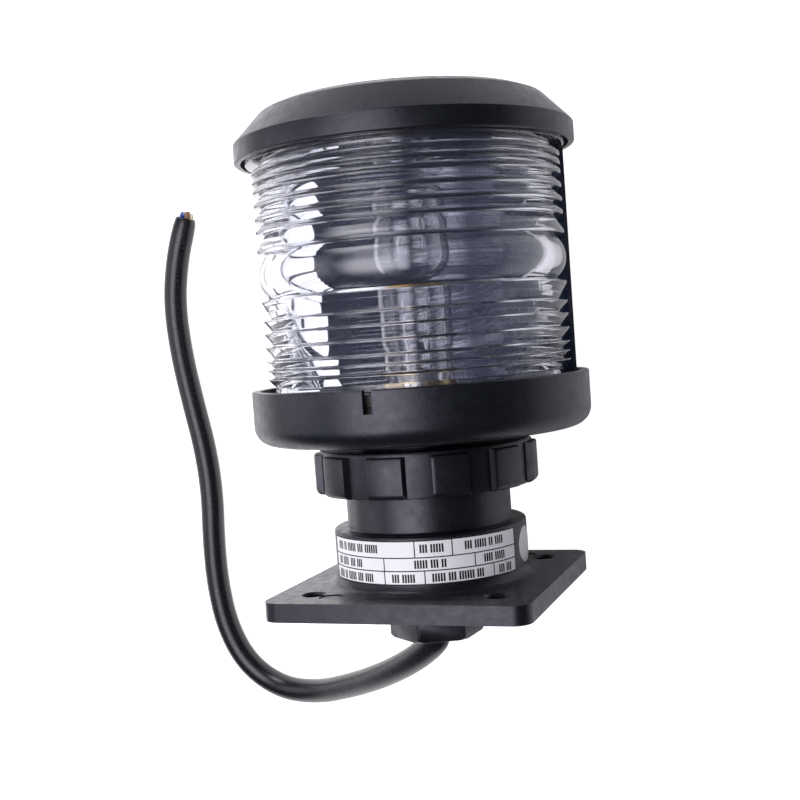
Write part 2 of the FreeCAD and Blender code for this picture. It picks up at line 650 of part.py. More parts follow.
def lamp_contacts():
    """Two solder contacts under the base."""
    contacts = []
    for x in (-PLUNGER_SPREAD, PLUNGER_SPREAD):
        pad = tube(1.5, 0, LAMP_BASE_BOTTOM - 0.98, LAMP_BASE_BOTTOM + 0.4, x, 0)
        contacts.append(pad.fuse(tube(0.6, 0, LAMP_BASE_BOTTOM, LAMP_BASE_BOTTOM + 4.0, x, 0)))
    return Part.makeCompound(contacts)


def lamp_glass():
    """Clear envelope: straight neck in the base, round body, domed top."""
    wall = 0.6
    neck_r = LAMP_BASE_R - 0.42
    shoulder = LAMP_BASE_TOP + 7.0
    crown = LAMP_GLASS_TOP - LAMP_GLASS_R
    bend = math.sqrt(0.5)
    middle_r = (neck_r + LAMP_GLASS_R) / 2 + 0.5
    outline = [
        line((neck_r - wall, LAMP_BASE_TOP - 5), (neck_r, LAMP_BASE_TOP - 5)),
        line((neck_r, LAMP_BASE_TOP - 5), (neck_r, LAMP_BASE_TOP + 0.5)),
        arc((neck_r, LAMP_BASE_TOP + 0.5), (middle_r, LAMP_BASE_TOP + 3.2), (LAMP_GLASS_R, shoulder)),
        line((LAMP_GLASS_R, shoulder), (LAMP_GLASS_R, crown)),
        arc((LAMP_GLASS_R, crown), (LAMP_GLASS_R * bend, crown + LAMP_GLASS_R * bend), (0, LAMP_GLASS_TOP)),
        line((0, LAMP_GLASS_TOP), (0, LAMP_GLASS_TOP - wall)),
        arc((0, LAMP_GLASS_TOP - wall), ((LAMP_GLASS_R - wall) * bend, crown + (LAMP_GLASS_R - wall) * bend),
            (LAMP_GLASS_R - wall, crown)),
        line((LAMP_GLASS_R - wall, crown), (LAMP_GLASS_R - wall, shoulder)),
        arc((LAMP_GLASS_R - wall, shoulder), (middle_r - wall, LAMP_BASE_TOP + 3.4),
            (neck_r - wall, LAMP_BASE_TOP + 0.7)),
        line((neck_r - wall, LAMP_BASE_TOP + 0.7), (neck_r - wall, LAMP_BASE_TOP - 5)),
    ]
    return revolve_edges(outline)


def lamp_stem():
    """Glass stem inside the neck that carries the support wires."""
    stem = revolve([(0, LAMP_BASE_TOP - 6), (4.6, LAMP_BASE_TOP - 6), (3.9, LAMP_BASE_TOP + 1),
                    (2.4, LAMP_BASE_TOP + 6), (0, LAMP_BASE_TOP + 6)])
    return stem.cut(filament_supports())


def filament_supports():
    """Two stiff wires from the base up past the stem to the filament."""
    wires = []
    for side in (-1, 1):
        route = [(side * 3.2, 0, LAMP_BASE_TOP - 11), (side * 3.2, 0, LAMP_BASE_TOP + 2),
                 (side * 4.6, 0, LAMP_BASE_TOP + 10), (side * 4.2, 0, LENS_CENTRE - 0.8)]
        wires.append(pipe(route, 0.8)[0])
    return Part.makeCompound(wires)


def filament():
    """Filament lying across the two support wires, its fine coil drawn as a rod."""
    half = 4.5
    start = FreeCAD.Vector(-half, 0, LENS_CENTRE)
    return Part.makeCylinder(0.7, 2 * half, start, FreeCAD.Vector(1, 0, 0))


# ---- Wiring -----------------------------------------------------------------

def terminal_block():
    """Two-way terminal block in the hollow neck."""
    body = box_at(0, 0, BLOCK_BOTTOM, 20, 13, BLOCK_HEIGHT)
    uprights = [e for e in body.Edges if abs(e.Vertexes[0].Z - e.Vertexes[-1].Z) > 1]
    body = body.makeFillet(1.5, uprights)
    for x in (-BLOCK_WIRE_X, BLOCK_WIRE_X):
        body = body.cut(tube(1.6, 0, BLOCK_BOTTOM - 1, BLOCK_BOTTOM + BLOCK_HEIGHT + 1, x, 0))
        for z in BLOCK_SCREW_HEIGHTS:
            well = Part.makeCylinder(1.9, 8, FreeCAD.Vector(x, -8, z), FreeCAD.Vector(0, 1, 0))
            body = body.cut(well)
    feet = [box_at(0, side * 13.8, BLOCK_BOTTOM, 6, 15.0, 3) for side in (-1, 1)]
    return body.fuse(feet).common(tube(NECK_BORE_R - 0.05, 0, 0, 50)).removeSplitter()


def terminal_screws():
    """Four grub screws of the terminal block."""
    screws = []
    for x in (-BLOCK_WIRE_X, BLOCK_WIRE_X):
        for z in BLOCK_SCREW_HEIGHTS:
            start = FreeCAD.Vector(x, -6, z)
            screw = Part.makeCylinder(1.8, 4.2, start, FreeCAD.Vector(0, 1, 0))
            screws.append(screw.cut(box_at(x, -6, z - 0.25, 3.0, 1.2, 0.5)))
    return Part.makeCompound(screws)


def lower_wire(side):
    """One core from the stripped cable end up into the terminal block."""
    entry_x = side * BLOCK_WIRE_X
    return pipe([(side * 1.6, 0, 10.2), (side * 1.7, 0, 13.5), (entry_x, 0, BLOCK_BOTTOM - 3.5),
                 (entry_x, 0, BLOCK_BOTTOM + 1.6)], CORE_D)[0]


def upper_wire(side):
    """One lead from the terminal block to the lamp holder."""
    exit_x = side * BLOCK_WIRE_X
    end_x = side * PLUNGER_SPREAD
    return pipe([(exit_x, 0, BLOCK_BOTTOM + BLOCK_HEIGHT + 0.3), (exit_x, 0, 43.0), (end_x, 0, 48.5),
                 (end_x, 0, HOLDER_BASE_BOTTOM - 0.1)], CORE_D)[0]


def supply_cable():
    """Round rubber cable, already in the lying position."""
    solid, length, radii = pipe(CABLE_ROUTE, CABLE_D)
    section = math.pi * CABLE_D ** 2 / 4
    print("cable radii", [round(r, 1) for r in radii])
    print("cable length", round(length, 1), "volume ratio", round(solid.Volume / (section * length), 4))
    return solid


def cable_end(radius, offset, length):
    """A straight core that stands out of the cable's free end."""
    end = FreeCAD.Vector(*CABLE_ROUTE[-1])
    way = end - FreeCAD.Vector(*CABLE_ROUTE[-2])
    way.normalize()
    side = way.cross(UP)
    base = end + side * offset[0] + UP * offset[1]
    return Part.makeCylinder(radius, length, base, way)


def copper_strands():
    """Bare strands cut off just outside the sheath, one bundle of seven."""
    strands = []
    for k in range(7):
        turn = math.radians(60 * k)
        reach = 0.0 if k == 6 else STRAND_D + 0.02
        offset = (STRANDS_END[0] + reach * math.cos(turn), STRANDS_END[1] + reach * math.sin(turn))
        strands.append(cable_end(STRAND_D / 2, offset, 1.4 + 0.3 * (k % 3)))
    return Part.makeCompound(strands)


def main():
    """Builds every node and writes its STEP file."""
    os.makedirs("parts", exist_ok=True)
    upright = {
        "base_pedestal": pedestal(),
        "rating_label": rating_label(),
        "round_sticker": round_sticker(),
        "gland_body": gland_body(),
        "gland_lock_nut": gland_lock_nut(),
        "gland_nut": gland_nut(),
        "gland_washer": gland_washer(),
        "neck_o_ring": o_ring(NECK_SEAL_R, NECK_SEAL_SECTION, NECK_TOP - 0.8),
        "clamp_ring": clamp_ring(),
        "union_washer": union_washer(),
        "union_nut": union_nut(),
        "head_housing": head_housing(),
        "lens_gasket": lens_gasket(),
        "lens": lens(),
        "back_screen": back_screen(),
        "top_cap": top_cap(),
        "cap_o_ring": o_ring(CAP_SEAL_R, CAP_SEAL_SECTION, LENS_TOP + CAP_SEAL_SECTION / 2 + 0.01),
        "lamp_bracket": lamp_bracket(),
        "bracket_screws": bracket_screws(),
        "holder_base": holder_base(),
        "holder_shell": holder_shell(),
        "contact_plungers": contact_plungers(),
        "contact_springs": contact_springs(),
        "lamp_base": lamp_base(),
        "lamp_insulator": lamp_insulator(),
        "lamp_contacts": lamp_contacts(),
        "lamp_glass": lamp_glass(),
        "lamp_stem": lamp_stem(),
        "filament_supports": filament_supports(),
        "filament": filament(),
        "terminal_block": terminal_block(),
        "terminal_screws": terminal_screws(),
        "wire_blue_lower": lower_wire(-1),
        "wire_brown_lower": lower_wire(1),
        "wire_blue_upper": upper_wire(-1),
        "wire_brown_upper": upper_wire(1),
    }
    for name, shape in upright.items():
        save(name, place(shape))
    save("gland_seal", gland_seal())
    save("supply_cable", supply_cable())
    save("cable_core_blue", cable_end(CORE_D / 2, BLUE_END, BLUE_END_LENGTH))
    save("cable_core_brown", cable_end(1.0, BROWN_END, BROWN_END_LENGTH))
    save("copper_strands", copper_strands())


main()
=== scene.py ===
import math

import bmesh
import bpy
from mathutils import Matrix, Vector


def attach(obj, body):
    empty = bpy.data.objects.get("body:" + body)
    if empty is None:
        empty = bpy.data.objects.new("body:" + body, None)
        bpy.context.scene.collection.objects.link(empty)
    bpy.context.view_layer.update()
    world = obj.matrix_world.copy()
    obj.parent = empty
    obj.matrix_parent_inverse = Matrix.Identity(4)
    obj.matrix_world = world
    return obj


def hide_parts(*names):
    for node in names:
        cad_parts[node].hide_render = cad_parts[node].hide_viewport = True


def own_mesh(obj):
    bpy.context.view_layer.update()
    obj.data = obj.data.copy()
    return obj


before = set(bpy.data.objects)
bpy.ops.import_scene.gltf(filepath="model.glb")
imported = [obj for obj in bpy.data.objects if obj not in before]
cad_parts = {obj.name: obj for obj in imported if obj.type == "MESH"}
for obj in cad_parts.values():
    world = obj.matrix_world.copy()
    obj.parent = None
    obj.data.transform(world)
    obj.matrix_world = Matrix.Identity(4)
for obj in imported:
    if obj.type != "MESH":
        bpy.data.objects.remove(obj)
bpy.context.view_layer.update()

# The light lies on its back: its axis is +Y, its lit side faces +Z, the floor is below.
# Outlines are (radius, height up the axis) in millimetres, as on the drawing.
MM = 0.001
FLOOR_Z = -55 * MM
AROUND = 360          # steps round a turned piece
OVERCUT = 1           # how far a cutting tool reaches past what it cuts

RIM_R = 55.0          # lens ring and cap
FOOT_HALF, FOOT_CORNER, FOOT_TOP = 43.0, 5.5, 6.0
SCREW_HOLE_AT = 30.0
NECK_BORE_R = 21.2
NECK_R, NECK_TOP = 27.0, 45.0
COLLAR_R = 31.6
BULLSEYE = 107.45     # height of the lens's widest band and of the filament
SLOT_ANGLE = 3.0      # the lens ring's index slot
BRACKET_SCREW_AT = 30.0
SCREEN_HALF_ANGLE = 67.5
GLAND_FACE = -13.3


# ---- Node helper --------------------------------------------------------------

class Shader:
    """A node tree that is built up with short calls, for a material, a light or the world."""

    def __init__(self, name, owner=None):
        self.material = owner or bpy.data.materials.new(name)
        self.material.use_nodes = True
        self.tree = self.material.node_tree
        self.tree.nodes.clear()

    def add(self, kind, inputs=None, **settings):
        node = self.tree.nodes.new("ShaderNode" + kind)
        for key, value in settings.items():
            setattr(node, key, value)
        for key, value in (inputs or {}).items():
            if isinstance(value, bpy.types.NodeSocket):
                self.tree.links.new(value, node.inputs[key])
            else:
                node.inputs[key].default_value = value
        return node

    def position(self):
        return self.add("TexCoord").outputs["Object"]

    def noise(self, scale, detail=3.0, rough=0.55, vector=None):
        """Noise whose grain is about 1/scale metres."""
        return self.add("TexNoise", {"Vector": vector or self.position(), "Scale": scale, "Detail": detail,
                                     "Roughness": rough}).outputs["Fac"]

    def stretched(self, factors):
        return self.add("VectorMath", {0: self.position(), 1: factors}, operation="MULTIPLY").outputs[0]

    def span(self, value, low, high, start=0.0, end=1.0):
        return self.add("MapRange", {"Value": value, "From Min": start, "From Max": end, "To Min": low,
                                     "To Max": high}).outputs["Result"]

    def mix(self, factor, a, b):
        node = self.add("Mix", data_type="RGBA")
        for socket, value in ((node.inputs[0], factor), (node.inputs[6], a), (node.inputs[7], b)):
            if isinstance(value, bpy.types.NodeSocket):
                self.tree.links.new(value, socket)
            else:
                socket.default_value = value
        return node.outputs[2]

    def bump(self, height, depth, strength=1.0, normal=None):
        inputs = {"Height": height, "Distance": depth, "Strength": strength}
        if normal is not None:
            inputs["Normal"] = normal
        return self.add("Bump", inputs).outputs["Normal"]

    def principled(self, inputs):
        return self.add("BsdfPrincipled", inputs).outputs["BSDF"]

    def output(self, surface):
        self.add("OutputMaterial", {"Surface": surface})
        return self.material


def grey(value, blue=0.0):
    return (value, value * (1 + blue * 0.4), value * (1 + blue), 1.0)


def moulded_plastic(name, tone, rough, grain_depth, blue=0.12):
    """Moulded black plastic: fine spark-eroded grain, light specks and slight colour drift."""
    s = Shader(name)
    drift = s.noise(90, 2)
    grain = s.noise(2600, 2, 0.6)
    coarse = s.noise(700, 2)
    colour = s.mix(drift, grey(tone * 0.85, blue), grey(tone * 1.2, blue))
    specks = s.span(s.noise(1700, 1, 0.4), 0, 1, 0.66, 0.74)
    colour = s.mix(specks, colour, grey(tone * 3.2, blue))
    normal = s.bump(grain, grain_depth)
    normal = s.bump(coarse, grain_depth * 1.5, 0.6, normal)
    roughness = s.span(s.noise(320, 3), rough - 0.07, rough + 0.07, 0.3, 0.7)
    return s.output(s.principled({"Base Color": colour, "Roughness": roughness, "Normal": normal,
                                  "Specular Tint": (0.88, 0.87, 1.0, 1)}))


def clear(name, tint, rough, ior, bump_depth=0.0, bump_scale=60.0, haze=0.0):
    """Clear plastic or glass that lets light through to what is inside; haze is its milky share."""
    s = Shader(name)
    inputs = {"Base Color": tint, "Roughness": rough, "IOR": ior, "Transmission Weight": 1.0}
    if bump_depth:
        inputs["Normal"] = s.bump(s.noise(bump_scale, 2), bump_depth)
    solid = s.principled(inputs)
    if haze:
        milk = s.add("BsdfDiffuse", {"Color": (0.78, 0.81, 1.0, 1)}).outputs["BSDF"]
        solid = s.add("MixShader", {0: haze, 1: solid, 2: milk}).outputs["Shader"]
    through = s.add("BsdfTransparent", {"Color": tint}).outputs["BSDF"]
    shadow = s.add("LightPath").outputs["Is Shadow Ray"]
    return s.output(s.add("MixShader", {0: shadow, 1: solid, 2: through}).outputs["Shader"])


def metal(name, colour, rough, brushed=(1, 1, 1), depth=0.000004):
    """Metal with fine turning marks and slight tarnish."""
    s = Shader(name)
    marks = s.noise(1500, 3, 0.6, s.stretched(brushed))
    spots = s.noise(240, 4)
    dull = tuple(c * 0.85 for c in colour[:3]) + (1.0,)
    return s.output(s.principled({
        "Base Color": s.mix(s.span(spots, 0, 1, 0.35, 0.7), colour, dull),
        "Metallic": 1.0, "Roughness": s.span(marks, rough * 0.7, rough * 1.4, 0.3, 0.7),
        "Normal": s.bump(marks, depth)}))


def rubbery(name, colour, rough, scale=1400, depth=0.00001):
    """Rubber, nylon or insulation: a slightly uneven skin."""
    s = Shader(name)
    skin = s.noise(scale, 3)
    broad = s.noise(scale / 12, 2)
    low = tuple(c * 0.85 for c in colour[:3]) + (1.0,)
    high = tuple(min(1.0, c * 1.12) for c in colour[:3]) + (1.0,)
    return s.output(s.principled({
        "Base Color": s.mix(broad, low, high),
        "Roughness": s.span(skin, rough - 0.06, rough + 0.06, 0.3, 0.7), "Normal": s.bump(skin, depth)}))


def paper(name, tone, rough):
    """Printed film label, satin, with a faint wave in it."""
    s = Shader(name)
    return s.output(s.principled({
        "Base Color": s.mix(s.noise(160, 2), grey(tone * 0.97), grey(tone)), "Roughness": rough,
        "Normal": s.bump(s.noise(110, 2), 0.00004)}))


PLASTIC = moulded_plastic("mat_black_plastic", 0.007, 0.34, 0.00003, 0.45)
# painted shade: a darker, bluer copy of the black plastic for the screen's inner face
PLASTIC_PAINTED_SHADE = moulded_plastic("mat_screen_inner_painted_shade", 0.0045, 0.3, 0.00002, 3.0)
LENS = clear("mat_lens_clear", (0.94, 0.942, 0.99, 1), 0.012, 1.49, 0.000006, 45, 0.012)
GLASS = clear("mat_lamp_glass", (0.985, 0.99, 0.985, 1), 0.0, 1.5, 0.00001, 90)
RUBBER = rubbery("mat_rubber_black", (0.02, 0.02, 0.021, 1), 0.6)
CABLE = rubbery("mat_cable_rubber", (0.008, 0.008, 0.011, 1), 0.3, 900, 0.00001)
# painted shade: black laid on clear lens faces where the cap, the ring and the index slot shade them
LENS_PAINTED_SHADE = rubbery("mat_lens_painted_shade", (0.006, 0.006, 0.007, 1), 0.5)
LABEL = paper("mat_label_white", 0.95, 0.38)
INK = rubbery("mat_label_ink", (0.003, 0.003, 0.004, 1), 0.6)
NYLON = rubbery("mat_slip_nylon", (0.78, 0.77, 0.72, 1), 0.4)
ZINC = metal("mat_steel_zinc", (0.72, 0.72, 0.7, 1), 0.3, (1, 1, 6))
BRASS = metal("mat_brass", (0.83, 0.62, 0.27, 1), 0.24, (1, 14, 1))
NICKEL = metal("mat_nickel_brass", (0.8, 0.76, 0.68, 1), 0.2, (1, 10, 1))
SPRING = metal("mat_spring_steel", (0.55, 0.55, 0.56, 1), 0.3)
BAKELITE = moulded_plastic("mat_bakelite", 0.03, 0.3, 0.00001, -0.2)
BLACK_GLASS = rubbery("mat_lamp_black_glass", (0.012, 0.012, 0.014, 1), 0.12)
SOLDER = metal("mat_solder", (0.6, 0.6, 0.62, 1), 0.35, depth=0.00001)
TUNGSTEN = metal("mat_tungsten", (0.3, 0.3, 0.32, 1), 0.35)
BLOCK = rubbery("mat_block_white", (0.8, 0.79, 0.75, 1), 0.45)
CORE_BLUE = rubbery("mat_core_blue", (0.03, 0.09, 0.42, 1), 0.4)
CORE_BROWN = rubbery("mat_core_brown", (0.28, 0.13, 0.06, 1), 0.4)
TINNED = metal("mat_tinned_copper", (0.86, 0.78, 0.6, 1), 0.3, (8, 1, 8))


# ---- Mesh helpers -------------------------------------------------------------

def spot(radius, angle, height):
    """A point off the axis, in metres; the angle is from the lit side towards +X."""
    turn = math.radians(angle)
    return Vector((radius * math.sin(turn), height, radius * math.cos(turn))) * MM


def rounded(outline, steps=4):
    """A closed outline whose corners (radius, height, fillet) are rounded."""
    points = []
    count = len(outline)
    for k, corner in enumerate(outline):
        here = Vector(corner[:2])
        if len(corner) < 3 or not corner[2]:
            points.append(tuple(here))
            continue
        back = Vector(outline[k - 1][:2]) - here
        ahead = Vector(outline[(k + 1) % count][:2]) - here
        half = back.angle(ahead) / 2
        reach = min(corner[2] / math.tan(half), 0.49 * back.length, 0.49 * ahead.length)
        fillet = reach * math.tan(half)
        centre = here + (back.normalized() + ahead.normalized()).normalized() * (fillet / math.sin(half))
        start = here + back.normalized() * reach - centre
        end = here + ahead.normalized() * reach - centre
        first = math.atan2(start.y, start.x)
        swing = (math.atan2(end.y, end.x) - first + math.pi) % (2 * math.pi) - math.pi
        for s in range(steps + 1):
            turn = first + swing * s / steps
            points.append((centre.x + fillet * math.cos(turn), centre.y + fillet * math.sin(turn)))
    return points


def make(name, mesh_builder, material, smooth_angle=35.0):
    """A new object from a bmesh, smooth except across sharp edges."""
    bmesh.ops.remove_doubles(mesh_builder, verts=mesh_builder.verts, dist=1e-7)
    bmesh.ops.recalc_face_normals(mesh_builder, faces=mesh_builder.faces)
    mesh = bpy.data.meshes.new(name)
    mesh_builder.to_mesh(mesh)
    mesh_builder.free()
    obj = bpy.data.objects.new(name, mesh)
    bpy.context.scene.collection.objects.link(obj)
    for m in material if isinstance(material, list) else [material]:
        mesh.materials.append(m)
    shade(obj, smooth_angle)
    return obj


def shade(obj, smooth_angle=35.0):
    for face in obj.data.polygons:
        face.use_smooth = True
    obj.data.set_sharp_from_angle(angle=math.radians(smooth_angle))


def piece(obj, body, slot, *nodes):
    """Joins a piece to its body and hides the nodes that it stands for; the slot is not used."""
    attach(obj, body)
    if nodes:
        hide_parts(*nodes)
    return obj


def skin(bm, rings, closed_round=True):
    """Faces between neighbouring rings of points."""
    made = [[bm.verts.new(p) for p in ring] for ring in rings]
    for ring, after in zip(made, made[1:] + made[:1] if closed_round else made[1:]):
        size = len(ring)
        for i in range(size):
            j = (i + 1) % size
            bm.faces.new((ring[i], ring[j], after[j], after[i]))
    return made


def lathe(outline, steps=AROUND, centre=(0.0, 0.0)):
    """A closed outline turned about the axis, or about a line beside it."""
    bm = bmesh.new()
    shift = Vector((centre[0], 0, centre[1])) * MM
    skin(bm, [[spot(r, 360.0 * k / steps, h) + shift for r, h in outline] for k in range(steps)])
    return bm


def wedge(outline, first, last, steps):
    """A closed outline turned through part of a circle, with both ends closed."""
    bm = bmesh.new()
    rings = [[spot(r, first + (last - first) * k / steps, h) for r, h in outline] for k in range(steps + 1)]
    made = skin(bm, rings, closed_round=False)
    bm.faces.new(made[0])
    bm.faces.new(made[-1])
    return bm


def combine(target, operation, tool_builder):
    """Applies a boolean with a tool from a bmesh, and removes the tool."""
    tool = make("tool", tool_builder, PLASTIC)
    change = target.modifiers.new("shape", "BOOLEAN")
    change.operation = operation
    change.object = tool
    change.solver = "EXACT"
    bpy.context.view_layer.update()
    graph = bpy.context.evaluated_depsgraph_get()
    result = bpy.data.meshes.new_from_object(target.evaluated_get(graph))
    target.modifiers.clear()
    target.data = result
    bpy.data.objects.remove(tool)
    shade(target)


def prism(outline, low, high, bevel=0.0, segments=3):
    """An outline in the plane across the axis, (x, z) in mm, given a height."""
    bm = bmesh.new()
    bottom = [bm.verts.new(Vector((x, low, z)) * MM) for x, z in outline]
    top = [bm.verts.new(Vector((x, high, z)) * MM) for x, z in outline]
    count = len(outline)
    for i in range(count):
        j = (i + 1) % count
        bm.faces.new((bottom[i], bottom[j], top[j], top[i]))
    caps = [bm.faces.new(bottom), bm.faces.new(top)]
    if bevel:
        edges = {e for face in caps for e in face.edges}
        bmesh.ops.bevel(bm, geom=list(edges), offset=bevel * MM, segments=segments, profile=0.5,
                        affect="EDGES", clamp_overlap=True)
    return bm


def smooth_line(name, points, radius, resolution, bevel_resolution):
    """A round bar along points in millimetres, as a curve object."""
    curve = bpy.data.curves.new(name, "CURVE")
    curve.dimensions = "3D"
    spline = curve.splines.new("NURBS")
    spline.points.add(len(points) - 1)
    for target, p in zip(spline.points, points):
        target.co = (*(Vector(p) * MM), 1.0)
    spline.order_u = 3
    spline.use_endpoint_u = True
    spline.resolution_u = resolution
    curve.bevel_depth = radius * MM
    curve.bevel_resolution = bevel_resolution
    curve.use_fill_caps = True
    obj = bpy.data.objects.new(name, curve)
    bpy.context.scene.collection.objects.link(obj)
    return obj


def wire(name, points, diameter, material, resolution=10, sides=6):
    """A round wire along points in millimetres, as a mesh."""
    holder = smooth_line(name + "_line", points, diameter / 2, resolution, sides // 2 - 1)
    bpy.context.view_layer.update()
    graph = bpy.context.evaluated_depsgraph_get()
    mesh = bpy.data.meshes.new_from_object(holder.evaluated_get(graph))
    bpy.data.objects.remove(holder)
    mesh.materials.clear()
    mesh.materials.append(material)
    obj = bpy.data.objects.new(name, mesh)
    bpy.context.scene.collection.objects.link(obj)
    shade(obj, 60)
    return obj


def join(name, objects):
    """Several mesh objects as one."""
    bm = bmesh.new()
    materials = []
    for o in objects:
        start = len(bm.faces)
        bm.from_mesh(o.data)
        bm.faces.ensure_lookup_table()
        slots = [m for m in o.data.materials]
        for m in slots:
            if m not in materials:
                materials.append(m)
        for face in bm.faces[start:]:
            face.material_index = materials.index(slots[face.material_index])
    mesh = bpy.data.meshes.new(name)
    bm.to_mesh(mesh)
    bm.free()
    for m in materials:
        mesh.materials.append(m)
    obj = bpy.data.objects.new(name, mesh)
    bpy.context.scene.collection.objects.link(obj)
    for o in objects:
        bpy.data.objects.remove(o)
    return obj


# ---- Foot, collar and neck ----------------------------------------------------

def build_foot():
    """Square plate with its collar and neck, screw holes and two ejector marks."""
    inset = FOOT_HALF - FOOT_CORNER
    outline = []
    for sx, sz, start in ((1, 1, 0), (-1, 1, 90), (-1, -1, 180), (1, -1, 270)):
        for k in range(13):
            turn = math.radians(start + 90 * k / 12)
            outline.append((sx * inset + FOOT_CORNER * math.cos(turn), sz * inset + FOOT_CORNER * math.sin(turn)))
    plate = make("foot_base", prism(outline, 0, FOOT_TOP, 0.45, 4), PLASTIC)
    above = FOOT_TOP + OVERCUT
    hole_r = 3.25
    for x in (-SCREW_HOLE_AT, SCREW_HOLE_AT):
        for z in (-SCREW_HOLE_AT, SCREW_HOLE_AT):
            hole = lathe([(0, -OVERCUT), (4.0, -OVERCUT), (4.0, 0), (hole_r, 0.7), (hole_r, 5.3), (4.1, FOOT_TOP),
                          (4.1, above), (0, above)], 48, (x, z))
            combine(plate, "DIFFERENCE", hole)
    mark_r, mark_floor = 3.8, 5.7
    for x, z in ((-22.8, 33.3), (22.8, -33.3)):
        mark = lathe([(0, mark_floor), (mark_r, mark_floor), (mark_r, above), (0, above)], 48, (x, z))
        combine(plate, "DIFFERENCE", mark)
    gland_r = 10.0
    bore = lathe([(0, -OVERCUT), (gland_r, -OVERCUT), (gland_r, 5.95), (NECK_BORE_R, 5.95), (NECK_BORE_R, 8),
                  (0, 8)], 96)
    collar = lathe(rounded([
        (NECK_BORE_R, 5.0), (34.9, 5.0), (34.9, FOOT_TOP), (32.5, 6.9, 2.0), (COLLAR_R, 9.2, 3.0),
        (COLLAR_R, 24.2, 0.8), (NECK_R, 24.2, 0.6), (NECK_R, NECK_TOP, 0.4), (25.0, NECK_TOP), (25.0, 43.3),
        (22.6, 43.3), (22.6, NECK_TOP), (NECK_BORE_R, NECK_TOP, 0.3)]), 240)
    combine(plate, "UNION", collar)
    combine(plate, "DIFFERENCE", bore)
    piece(plate, "foot", "black_plastic", "base_pedestal")


FILM_GAP = 0.02       # from the collar to the back of a label


def build_label():
    """White film with a printed grid and short bars in place of any wording."""
    low, high, first, last = 9.2, 23.3, -54.5, 75.0
    lines = (13.7, 17.8)
    thin, edge = 0.36, 0.5
    per_degree = math.pi * COLLAR_R / 180
    rows = list(zip((low, *lines), (*lines, high)))
    splits = [(-9.0, 14.5, 55.75), (-8.9, 43.7), (9.6, 30.7)]
    half = thin / 2
    bars = [(first, last, low, low + edge), (first, last, high - edge, high),
            (first, first + edge / per_degree, low, high), (last - edge / per_degree, last, low, high)]
    bars += [(first, last, h - half, h + half) for h in lines]
    for (a, b), marks in zip(rows, splits):
        bars += [(angle - half / per_degree, angle + half / per_degree, a, b) for angle in marks]
    block, block_half = 1.55, 1.3
    # each entry is a row, the angle at which it starts and the lengths of its words in degrees
    words = [
        (0, -50, (5.5, 3, 7, 4, 6.5)), (0, -4.5, (4, 7.5)), (0, 18.5, (8, 5, 9.5, 4)), (0, 59.5, (5, 4)),
        (1, -49.5, (4, 6.5)), (1, -35, (5, 4.5)), (1, 9, (7, 4.5, 3)), (1, 49.5, (6, 8.5)),
        (2, -49, (6.5, 3.5, 8, 5, 9)), (2, 12.5, (5, 7)), (2, 38, (4.5, 8, 3, 6)),
    ]
    for row, angle, lengths in words:
        a, b = rows[row]
        middle = (a + b) / 2
        for length in lengths:
            for k in range(round(length / block)):
                bars.append((angle, angle + 0.72 * block, middle - block_half, middle + block_half))
                angle += block
            angle += 0.9 * block
    step = 1.5
    every = {first + step * k for k in range(int((last - first) / step) + 1)}
    cut_a = sorted({first, last} | {x for q in bars for x in q[:2]} | every)
    cut_h = sorted({low, high} | {x for q in bars for x in q[2:]})
    bm = bmesh.new()
    outer, inner = COLLAR_R + 0.16, COLLAR_R + FILM_GAP
    grid = [[bm.verts.new(spot(outer, a, h)) for h in cut_h] for a in cut_a]
    back = [[bm.verts.new(spot(inner, a, h)) for h in (low, high)] for a in cut_a]
    for i in range(len(cut_a) - 1):
        for j in range(len(cut_h) - 1):
            face = bm.faces.new((grid[i][j], grid[i + 1][j], grid[i + 1][j + 1], grid[i][j + 1]))
            mid_a, mid_h = (cut_a[i] + cut_a[i + 1]) / 2, (cut_h[j] + cut_h[j + 1]) / 2
            if any(q[0] < mid_a < q[1] and q[2] < mid_h < q[3] for q in bars):
                face.material_index = 1
        bm.faces.new((back[i][0], back[i][1], back[i + 1][1], back[i + 1][0]))
        bm.faces.new((grid[i][0], back[i][0], back[i + 1][0], grid[i + 1][0]))
        bm.faces.new((grid[i][-1], grid[i + 1][-1], back[i + 1][1], back[i][1]))
    bm.faces.new(grid[0] + back[0][::-1])
    bm.faces.new(grid[-1][::-1] + back[-1])
    piece(make("data_label", bm, [LABEL, INK]), "foot", "label_white", "rating_label")


def build_sticker():
    """Blank round sticker, domed a little at its edge."""
    bm = bmesh.new()
    angle, height, size, steps = 91, 16.2, 5.8, 64
    per_degree = math.pi * COLLAR_R / 180
    back = COLLAR_R + FILM_GAP
    turns = [2 * math.pi * k / steps for k in range(steps)]
    for r in (COLLAR_R + 0.17, back):
        centre = bm.verts.new(spot(r, angle, height))
        rings = []
        for share in (0.5, 0.96, 1.0):
            lift = r if share < 1 else back
            rings.append([bm.verts.new(spot(lift, angle + share * size * math.cos(t) / per_degree,
                                            height + share * size * math.sin(t))) for t in turns])
        for i in range(steps):
            j = (i + 1) % steps
            bm.faces.new((centre, rings[0][i], rings[0][j]))
            for a, b in zip(rings, rings[1:]):
                bm.faces.new((a[i], b[i], b[j], a[j]))
    piece(make("blank_sticker", bm, LABEL), "foot", "label_white", "round_sticker")


# ---- Gland --------------------------------------------------------------------

def hexagon(across, angle):
    reach = across / math.sqrt(3)
    return [(reach * math.sin(math.radians(angle + 60 * k)), reach * math.cos(math.radians(angle + 60 * k)))
            for k in range(6)]


